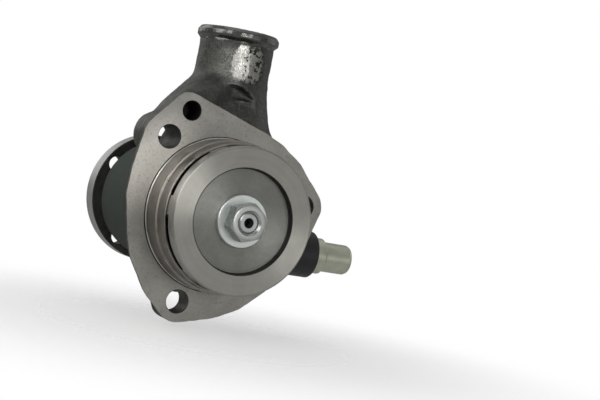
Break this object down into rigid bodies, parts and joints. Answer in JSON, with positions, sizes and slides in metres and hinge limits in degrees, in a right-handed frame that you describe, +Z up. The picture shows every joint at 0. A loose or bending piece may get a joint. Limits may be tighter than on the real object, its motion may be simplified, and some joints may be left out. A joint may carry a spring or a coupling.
{
  "type": "engine water pump",
  "caption": "Cast-iron engine coolant pump with a lobed mounting flange, spigot, vaned impeller, upright hose neck, side heater nipple and a flanged drive hub on two ball bearings.",
  "frame": {"origin": "centre of the spigot on the machined mounting face", "axes": "+Y along the shaft from the engine side to the drive hub, +Z up along the hose neck, +X towards the heater nipple"},
  "size_m": [0.1353, 0.144, 0.1489],
  "materials": {
    "casting": "sand cast, oiled, with machined faces",
    "black_bush": "black",
    "zinc_olive": "dull olive zinc plate",
    "bearing_steel": "ground",
    "shield_rubber": "matte",
    "spring_steel": "phosphated",
    "seal_brass": "drawn",
    "seal_rubber": "matte",
    "bright_spring": "bright",
    "carbon": "lapped",
    "shaft_steel": "turned and ground",
    "impeller_iron": "turned",
    "zinc_plate": "zinc plated",
    "key_steel": "ground",
    "ceramic": "lapped ceramic",
    "slinger_rubber": "matte",
    "hub_iron": "turned rim, dark flange",
    "ball_steel": "polished",
    "cage_brass": "pressed"
  },
  "bodies": {
    "housing": {"pump_housing": "casting", "outlet_adapter": "black_bush", "heater_nipple": "zinc_olive", "front_bearing_outer_ring": "bearing_steel", "rear_bearing_outer_ring": "bearing_steel", "front_bearing_shields": "shield_rubber", "rear_bearing_shields": "shield_rubber", "housing_circlip": "spring_steel", "seal_shell": "seal_brass", "seal_bellows": "seal_rubber", "seal_spring": "bright_spring", "seal_spring_cup": "bright_spring", "seal_carbon_ring": "carbon"},
    "rotor": {"pump_shaft": "shaft_steel", "impeller": "impeller_iron", "impeller_washer": "zinc_plate", "impeller_nut": "zinc_plate", "impeller_key": "key_steel", "seal_seat": "ceramic", "seat_boot": "seal_rubber", "slinger": "slinger_rubber", "front_bearing_inner_ring": "bearing_steel", "rear_bearing_inner_ring": "bearing_steel", "bearing_spacer": "key_steel", "shaft_circlip": "spring_steel", "drive_hub": "hub_iron", "hub_key": "key_steel"},
    "front_ball_set": {"front_bearing_balls": "ball_steel", "front_bearing_cage": "cage_brass"},
    "rear_ball_set": {"rear_bearing_balls": "ball_steel", "rear_bearing_cage": "cage_brass"}
  },
  "joints": [
    {"name": "shaft_spin", "type": "hinge", "parent": "housing", "child": "rotor", "pos_m": [0, 0, 0], "axis": [0, 1, 0], "continuous": true},
    {"name": "front_balls_orbit", "type": "hinge", "parent": "housing", "child": "front_ball_set", "pos_m": [0, 0.054, 0], "axis": [0, 1, 0], "continuous": true},
    {"name": "rear_balls_orbit", "type": "hinge", "parent": "housing", "child": "rear_ball_set", "pos_m": [0, 0.0755, 0], "axis": [0, 1, 0], "continuous": true}
  ],
  "couplings": [
    {"joint": "front_balls_orbit", "follows": "shaft_spin", "ratio": 0.3836},
    {"joint": "rear_balls_orbit", "follows": "shaft_spin", "ratio": 0.3836}
  ]
}
